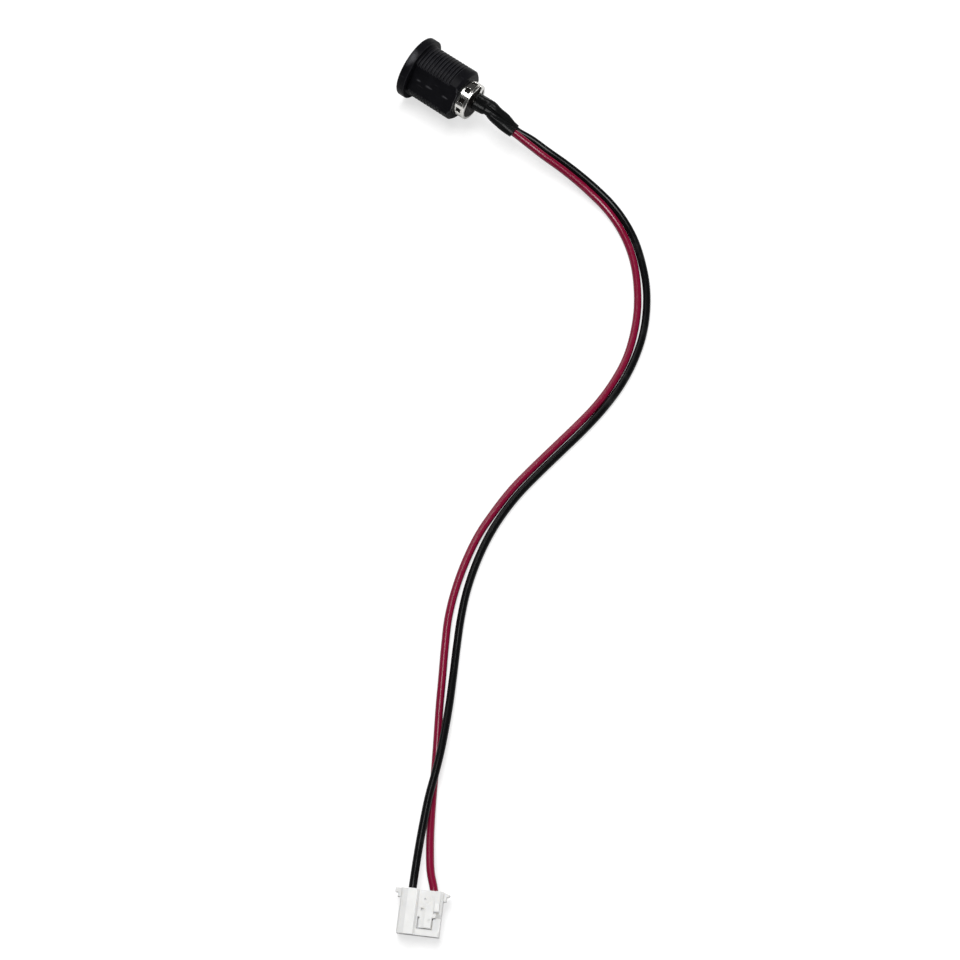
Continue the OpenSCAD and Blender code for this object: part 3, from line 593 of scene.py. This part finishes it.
def drafted(p):
    """Point of the plug with the moulding's draft: pointed ear, sloped ends, rib and ramp."""
    if p.y > PLUG_W / 2 + EAR_REACH:
        p.x = EAR_TIP[0] if p.x < EAR_MIDDLE else EAR_TIP[1]
    if p.x > PLUG_L - NEAR_OUTSIDE:
        p.x -= END_DRAFT * (CHANNEL_Z - p.z)
    elif abs(p.y) > PLUG_W / 2 - NEAR and EAR_X[0] < p.x < EAR_X[1]:
        p.x -= END_DRAFT * (EAR_Z - p.z)
    if p.z > RIB_TOP - NEAR and abs(p.y - RIB_EDGE) < NEAR:
        p.y -= RIB_DRAFT
    if abs(p.x - LOW_X) < NEAR and p.y > RAMP_Y:
        slope = RAMP_L / (CHANNEL_Z - LOW_Z) if p.z < CHANNEL_Z else RAMP_LEAN
        p.x += slope * (CHANNEL_Z - p.z)
    return p


def white_plug(material):
    """Moulded housing: rounded edges, pointed ear, a lance in the window, a pad, a core hole, a gate mark."""
    plug = plug_place()
    inverse = plug.inverted()
    bm = bmesh.new()
    bm.from_mesh(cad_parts["plug_housing"].data)
    bmesh.ops.remove_doubles(bm, verts=bm.verts, dist=WELD * MM)
    bmesh.ops.bisect_plane(bm, geom=[*bm.verts, *bm.edges, *bm.faces], dist=WELD * MM,
                           plane_co=plug @ Vector((0, 0, CHANNEL_Z)) * MM,
                           plane_no=plug.to_3x3() @ Vector((0, 0, 1)))
    for v in bm.verts:
        v.co = plug @ drafted(inverse @ (v.co / MM)) * MM
    bmesh.ops.dissolve_limit(bm, angle_limit=math.radians(1), verts=bm.verts, edges=bm.edges)
    bm.verts.index_update()
    verts, faces = [v.co / MM for v in bm.verts], [[v.index for v in f.verts] for f in bm.faces]
    bm.free()
    turns = [2 * math.pi * k / GATE_SIDES for k in range(GATE_SIDES)]
    gate_mark = [(GATE_X + GATE_R * math.cos(a), GATE_Y + GATE_R * math.sin(a)) for a in turns]
    above = CHANNEL_Z + CUT_CLEAR
    verts, faces = worked(verts, faces, [
        ("UNION", prism(SLOT_FLOOR, *SLOT_FLOOR_Z)),
        ("DIFFERENCE", prism(LOW_STEP, LOW_Z, above)),
        ("DIFFERENCE", prism(LANCE_SLOT, SLOT_Z, above)),
        ("UNION", prism(LANCE, LANCE_Z, CHANNEL_Z)),
        ("UNION", prism(CHANNEL_PAD, CHANNEL_Z - PAD_SINK, CHANNEL_Z + PAD_H, PAD_INSET)),
        ("DIFFERENCE", prism(gate_mark, CHANNEL_Z - GATE_DEPTH, above)),
        ("DIFFERENCE", prism(LANCE_MARK, CHANNEL_Z - MARK_DEPTH, above)),
        ("DIFFERENCE", prism(CORE_HOLE, CHANNEL_Z - CORE_DEPTH, above)),
        ("DIFFERENCE", prism(NARROW_RIB_STEP, NARROW_RIB_Z, RIB_TOP + CUT_CLEAR))])
    piece = make_piece("white_plug", verts, faces, material, "plug_housing",
                       sharp=25, edge=PLUG_EDGE)
    # The thin mark is painted shade: greyer on the shelf, the right column, the ears and the low parts.
    mark(piece, "thin", [painted_shade_at(inverse @ v) for v in verts])
    return piece


def tone(r, g, b):
    return (r, g, b, 1)


def grey(value):
    return tone(value, value, value)


def shader_group(name, inputs):
    """Empty surface group: inputs are (label, kind, value); it gives a colour, a roughness and a height."""
    tree = bpy.data.node_groups.new(name, "ShaderNodeTree")
    for label, kind, value in inputs:
        socket = tree.interface.new_socket(label, in_out="INPUT", socket_type="NodeSocket" + kind)
        socket.default_value = value
    for label, kind in (("Color", "Color"), ("Roughness", "Float"), ("Height", "Float")):
        tree.interface.new_socket(label, in_out="OUTPUT", socket_type="NodeSocket" + kind)
    return tree, tree.nodes.new("NodeGroupInput").outputs, tree.nodes.new("NodeGroupOutput").inputs


def node(tree, kind, inputs=(), **settings):
    """Shader node with settings; inputs are (socket, value or socket to join)."""
    made = tree.nodes.new("ShaderNode" + kind)
    for key, value in settings.items():
        setattr(made, key, value)
    for key, value in inputs:
        if isinstance(value, bpy.types.NodeSocket):
            tree.links.new(value, made.inputs[key])
        else:
            made.inputs[key].default_value = value
    return made


def mix(tree, share, low, high):
    """Colour between two others."""
    return node(tree, "Mix", [(0, share), (6, low), (7, high)], data_type="RGBA").outputs[2]


def between(tree, share, low, high):
    """Number between two others."""
    return node(tree, "Mix", [(0, share), (2, low), (3, high)]).outputs[0]


def maths(tree, operation, *values):
    return node(tree, "Math", list(enumerate(values)), operation=operation).outputs[0]


def scaled(tree, value, span, to=(0.0, 1.0)):
    """Number moved from one span to another, and held inside it."""
    return node(tree, "MapRange", [("Value", value), ("From Min", span[0]), ("From Max", span[1]),
                                   ("To Min", to[0]), ("To Max", to[1])]).outputs[0]


def marked(tree, name):
    """Number that a piece has at each point."""
    return node(tree, "Attribute", attribute_name=name).outputs["Fac"]


def clouds(tree, place, scale, detail, roughness=0.5):
    return node(tree, "TexNoise", [("Vector", place), ("Scale", scale), ("Detail", detail),
                                   ("Roughness", roughness)]).outputs[0]


def spots(tree, place, scale):
    """Distance from the nearest of many scattered points."""
    return node(tree, "TexVoronoi", [("Vector", place), ("Scale", scale)]).outputs["Distance"]


def stretched(tree, place, scale, rotation=(0.0, 0.0, 0.0)):
    return node(tree, "Mapping", [("Vector", place), ("Scale", scale), ("Rotation", rotation)]).outputs[0]


def moulded_group():
    """Moulded plastic: fine grain, cloudy tone, rubbed edges lightened also as painted highlight, a little
    dust, short scratches, scuffs with a painted highlight on the flange's rim, and painted shade where points
    are marked thin.
    """
    tree, inp, out = shader_group("moulded_plastic", [
        ("Tone", "Color", grey(0.1)), ("Cloud tone", "Color", grey(0.1)), ("Rubbed tone", "Color", grey(0.2)),
        ("Thin tone", "Color", grey(0.1)), ("Gloss low", "Float", 0.35), ("Gloss high", "Float", 0.55),
        ("Grain", "Float", 1.0)])
    place = node(tree, "TexCoord").outputs["Object"]
    cloud = clouds(tree, place, scale=420.0, detail=5.0, roughness=0.6)
    grain = clouds(tree, place, scale=5200.0, detail=3.0)
    streaked = stretched(tree, place, (260.0, 2600.0, 2600.0), (0.3, 0.1, 0.2))
    streak = clouds(tree, streaked, scale=1.0, detail=2.0)
    scratch = scaled(tree, streak, (0.68, 0.76), to=(0.0, 0.6))
    rubbed = scaled(tree, marked(tree, "edge"), (0.28, 0.9))
    worn_and_lit_edges = maths(tree, "MULTIPLY", rubbed, cloud)
    dust = scaled(tree, spots(tree, place, 1500.0), (0.0, 0.08), to=(0.22, 0.0))
    colour = mix(tree, scaled(tree, cloud, (0.3, 0.7)), inp["Tone"], inp["Cloud tone"])
    # Painted shade: points marked thin turn towards the greyer tone.
    colour = mix(tree, marked(tree, "thin"), colour, inp["Thin tone"])
    # Bent edges lighten: rubbed wear, and a painted highlight as on the flange's rim.
    colour = mix(tree, worn_and_lit_edges, colour, inp["Rubbed tone"])
    marks = maths(tree, "MULTIPLY", maths(tree, "MAXIMUM", scratch, dust), cloud)
    # Scuff marks on the flat, and the painted highlight on the flange's rim, lighten the colour.
    scuff = maths(tree, "MULTIPLY", marked(tree, "scuff"), grain)
    marks = maths(tree, "MAXIMUM", scaled(tree, scuff, (0.08, 0.4), to=(0.0, 0.55)), marks)
    tree.links.new(mix(tree, marks, colour, inp["Rubbed tone"]), out["Color"])
    tree.links.new(between(tree, cloud, inp["Gloss low"], inp["Gloss high"]), out["Roughness"])
    bumps = maths(tree, "MULTIPLY", grain, inp["Grain"])
    tree.links.new(maths(tree, "MULTIPLY_ADD", scratch, -0.6, bumps), out["Height"])
    return tree


def metal_group():
    """Plated metal: drawing lines round the axis, cloudy tarnish and fine pits."""
    tree, inp, out = shader_group("plated_metal", [
        ("Tone", "Color", grey(0.7)), ("Tarnish", "Color", tone(0.4, 0.38, 0.34)),
        ("Gloss low", "Float", 0.12), ("Gloss high", "Float", 0.3),
        ("Lines", "Vector", (9000.0, 500.0, 500.0))])
    place = node(tree, "TexCoord").outputs["Object"]
    lines = clouds(tree, stretched(tree, place, inp["Lines"]), scale=1.0, detail=3.0)
    cloud = clouds(tree, place, scale=700.0, detail=6.0, roughness=0.65)
    pit = scaled(tree, spots(tree, place, 4200.0), (0.0, 0.16), to=(-1.0, 0.0))
    stain = scaled(tree, cloud, (0.52, 0.78), to=(0.0, 0.8))
    tree.links.new(mix(tree, stain, inp["Tone"], inp["Tarnish"]), out["Color"])
    dull = scaled(tree, maths(tree, "MULTIPLY", cloud, lines), (0.12, 0.45))
    tree.links.new(between(tree, dull, inp["Gloss low"], inp["Gloss high"]), out["Roughness"])
    tree.links.new(maths(tree, "MULTIPLY_ADD", pit, 0.5, lines), out["Height"])
    return tree


def insulation_group():
    """Extruded insulation: faint streaks along the wire, cloudy colour, scuffs and dull patches."""
    tree, inp, out = shader_group("extruded_insulation", [
        ("Tone", "Color", tone(0.4, 0.02, 0.08)), ("Deep tone", "Color", tone(0.3, 0.01, 0.06)),
        ("Scuff tone", "Color", tone(0.5, 0.1, 0.2)),
        ("Gloss low", "Float", 0.2), ("Gloss high", "Float", 0.42)])
    place = node(tree, "TexCoord").outputs["Object"]
    turn = maths(tree, "MULTIPLY", marked(tree, "around"), 2 * math.pi)
    unrolled = node(tree, "CombineXYZ", [(0, marked(tree, "along")), (1, maths(tree, "COSINE", turn)),
                                         (2, maths(tree, "SINE", turn))]).outputs[0]
    streak = clouds(tree, stretched(tree, unrolled, (0.22, 6.5, 6.5)), scale=1.0, detail=4.0)
    patch = clouds(tree, place, scale=240.0, detail=4.0)
    fine = clouds(tree, place, scale=3600.0, detail=2.0)
    colour = mix(tree, scaled(tree, streak, (0.3, 0.7)), inp["Deep tone"], inp["Tone"])
    scuff = maths(tree, "MULTIPLY", scaled(tree, patch, (0.6, 0.75)), fine)
    tree.links.new(mix(tree, scuff, colour, inp["Scuff tone"]), out["Color"])
    tree.links.new(between(tree, patch, inp["Gloss low"], inp["Gloss high"]), out["Roughness"])
    tree.links.new(maths(tree, "MULTIPLY_ADD", fine, 0.35, streak), out["Height"])
    return tree


def surface(name, group, values, bump, **fixed):
    """Material from a surface group; bump is strength and depth, fixed are constants of its shader."""
    material = bpy.data.materials.new(name)
    material.use_nodes = True
    tree = material.node_tree
    shader = tree.nodes["Principled BSDF"]
    made = tree.nodes.new("ShaderNodeGroup")
    made.node_tree = group
    for key, value in values.items():
        made.inputs[key].default_value = value
    tree.links.new(made.outputs["Color"], shader.inputs["Base Color"])
    tree.links.new(made.outputs["Roughness"], shader.inputs["Roughness"])
    strength, depth = bump
    relief = node(tree, "Bump", [("Strength", strength), ("Distance", depth * MM),
                                 ("Height", made.outputs["Height"])])
    tree.links.new(relief.outputs["Normal"], shader.inputs["Normal"])
    for key, value in fixed.items():
        shader.inputs[key.replace("_", " ")].default_value = value
    return material


def finishes():
    """All surfaces of the object, by the name of their material slot."""
    moulded, metal, insulation = moulded_group(), metal_group(), insulation_group()
    return {
        "body_plastic": surface("black_moulding", moulded, {
            "Tone": tone(0.004, 0.004, 0.0052), "Cloud tone": tone(0.007, 0.007, 0.0088),
            # The lighter tone for rubbed marks also paints the highlight on the flange's rim.
            "Rubbed tone": tone(0.11, 0.11, 0.12), "Gloss low": 0.3, "Gloss high": 0.5, "Grain": 1.0,
        }, bump=(0.35, 0.02), Specular_IOR_Level=0.055),
        "insulator_plastic": surface("disc_moulding", moulded, {
            "Tone": tone(0.007, 0.0062, 0.0058), "Cloud tone": tone(0.012, 0.0105, 0.0095),
            "Rubbed tone": tone(0.06, 0.055, 0.05), "Gloss low": 0.22, "Gloss high": 0.4, "Grain": 0.7,
        }, bump=(0.3, 0.015), Specular_IOR_Level=0.07),
        "shrink_sleeve": surface("shrunk_skin", moulded, {
            "Tone": tone(0.0055, 0.0058, 0.006), "Cloud tone": tone(0.009, 0.0094, 0.0096),
            "Rubbed tone": tone(0.045, 0.045, 0.047), "Gloss low": 0.18, "Gloss high": 0.34, "Grain": 0.8,
        }, bump=(0.3, 0.02), Specular_IOR_Level=0.085),
        "housing_nylon": surface("milky_nylon", moulded, {
            "Tone": tone(0.78, 0.78, 0.768), "Cloud tone": tone(0.74, 0.74, 0.728),
            # The greyer tone for points marked thin is painted shade on the plug's shelf, column, ears and
            # low parts.
            "Rubbed tone": tone(0.86, 0.86, 0.85), "Thin tone": tone(0.69, 0.69, 0.682),
            "Gloss low": 0.34, "Gloss high": 0.5, "Grain": 0.5,
        }, bump=(0.25, 0.02), Specular_IOR_Level=0.4, Subsurface_Weight=0.5,
            Subsurface_Radius=(1.0, 0.95, 0.85), Subsurface_Scale=0.0012),
        "nickel_plate": surface("bright_nickel", metal, {
            "Tone": tone(0.88, 0.87, 0.84), "Tarnish": tone(0.6, 0.58, 0.54),
            "Gloss low": 0.1, "Gloss high": 0.22,
        }, bump=(0.08, 0.01), Metallic=1.0),
        "pin_plate": surface("plated_pin", metal, {
            "Tone": tone(0.76, 0.74, 0.68), "Tarnish": tone(0.5, 0.46, 0.38),
            "Gloss low": 0.14, "Gloss high": 0.3,
        }, bump=(0.2, 0.01), Metallic=1.0),
        "spring_bronze": surface("bronze_leaf", metal, {
            "Tone": tone(0.68, 0.5, 0.28), "Tarnish": tone(0.4, 0.27, 0.14),
            "Gloss low": 0.2, "Gloss high": 0.4, "Lines": (500.0, 9000.0, 9000.0),
        }, bump=(0.2, 0.01), Metallic=1.0),
        "terminal_tin": surface("tinned_sheet", metal, {
            "Tone": tone(0.6, 0.59, 0.56), "Tarnish": tone(0.44, 0.43, 0.4),
            "Gloss low": 0.5, "Gloss high": 0.65, "Lines": (3000.0, 3000.0, 500.0),
        }, bump=(0.2, 0.01), Metallic=1.0),
        "solder": surface("dull_solder", metal, {
            "Tone": tone(0.6, 0.6, 0.59), "Tarnish": tone(0.38, 0.38, 0.37),
            "Gloss low": 0.28, "Gloss high": 0.5, "Lines": (1200.0, 1200.0, 1200.0),
        }, bump=(0.5, 0.03), Metallic=1.0),
        "strands": surface("tinned_strands", metal, {
            "Tone": tone(0.74, 0.7, 0.64), "Tarnish": tone(0.55, 0.4, 0.28),
            "Gloss low": 0.25, "Gloss high": 0.45, "Lines": (300.0, 7000.0, 7000.0),
        }, bump=(0.6, 0.05), Metallic=1.0),
        "red_insulation": surface("crimson_insulation", insulation, {
            "Tone": tone(0.215, 0.0022, 0.03), "Deep tone": tone(0.17, 0.0016, 0.023),
            "Scuff tone": tone(0.31, 0.027, 0.078), "Gloss low": 0.18, "Gloss high": 0.24,
        }, bump=(0.012, 0.01), Specular_IOR_Level=0.47),
        "black_insulation": surface("black_insulation", insulation, {
            "Tone": tone(0.005, 0.005, 0.0054), "Deep tone": tone(0.003, 0.003, 0.0034),
            "Scuff tone": tone(0.025, 0.025, 0.026), "Gloss low": 0.14, "Gloss high": 0.22,
        }, bump=(0.03, 0.01), Specular_IOR_Level=0.15),
    }


def studio():
    """White floor, three soft lights and dim surroundings."""
    mesh = bpy.data.meshes.new("floor")
    (left, right), (near, far) = FLOOR_X, FLOOR_Y
    corners = ((left, near), (right, near), (right, far), (left, far))
    mesh.from_pydata([(x, y, TABLE_Z) for x, y in corners], [], [(0, 1, 2, 3)])
    floor = bpy.data.objects.new("floor", mesh)
    scene.collection.objects.link(floor)
    paper = bpy.data.materials.new("white_paper")
    paper.use_nodes = True
    tree = paper.node_tree
    shader = tree.nodes["Principled BSDF"]
    shader.inputs["Roughness"].default_value = 0.9
    shader.inputs["Specular IOR Level"].default_value = 0.0
    ray = node(tree, "LightPath").outputs
    unseen = mix(tree, ray["Is Glossy Ray"], grey(PAPER_HIDDEN), grey(PAPER_MIRRORED))
    shade = mix(tree, ray["Is Camera Ray"], unseen, grey(PAPER_SEEN))
    glow = mix(tree, ray["Is Camera Ray"], grey(0), grey(PAPER_GLOW))
    tree.links.new(shade, shader.inputs["Base Color"])
    tree.links.new(glow, shader.inputs["Emission Color"])
    shader.inputs["Emission Strength"].default_value = 1.0
    mesh.materials.append(paper)

    for name, (place, aim, size, watts, mirrored) in LIGHTS.items():
        data = bpy.data.lights.new(name, "AREA")
        data.shape = "RECTANGLE"
        data.size, data.size_y = size
        data.energy = watts
        light = bpy.data.objects.new(name, data)
        light.location = place
        light.rotation_euler = (Vector(aim) - Vector(place)).to_track_quat("-Z", "Y").to_euler()
        light.visible_glossy = mirrored
        scene.collection.objects.link(light)

    world = bpy.data.worlds.new("studio_air")
    world.use_nodes = True
    air = world.node_tree
    shade = mix(air, node(air, "LightPath").outputs["Is Glossy Ray"], grey(AIR), grey(AIR_MIRRORED))
    air.links.new(shade, air.nodes["Background"].inputs["Color"])
    air.nodes["Background"].inputs["Strength"].default_value = 1.0
    scene.world = world
    scene.view_settings.view_transform = "Standard"


def main():
    set_camera()
    finish = finishes()
    red_points, black_points = route(0, RED_LAY, PITCH / 2), route(WIRE_STEP, BLACK_LAY, -PITCH / 2)
    red_way, black_way = (smooth_way(points, WIRE_RING_STEP) for points in (red_points, black_points))
    red = wire_piece("red_lead", red_way, finish["red_insulation"], "red_wire", seed=3)
    black = wire_piece("black_lead", black_way, finish["black_insulation"], "black_wire",
                       seed=8)
    plug = white_plug(finish["housing_nylon"])
    sleeve = shrunk_sleeve(finish["shrink_sleeve"], red_points, black_points)
    jack_body(finish["body_plastic"])
    contact_shell(finish["nickel_plate"])
    rear_disc(finish["insulator_plastic"])
    for name, slot in PLAIN_PIECES.items():
        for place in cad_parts[name].material_slots:
            place.link = "OBJECT"
            place.material = finish[slot]
    studio()


main()
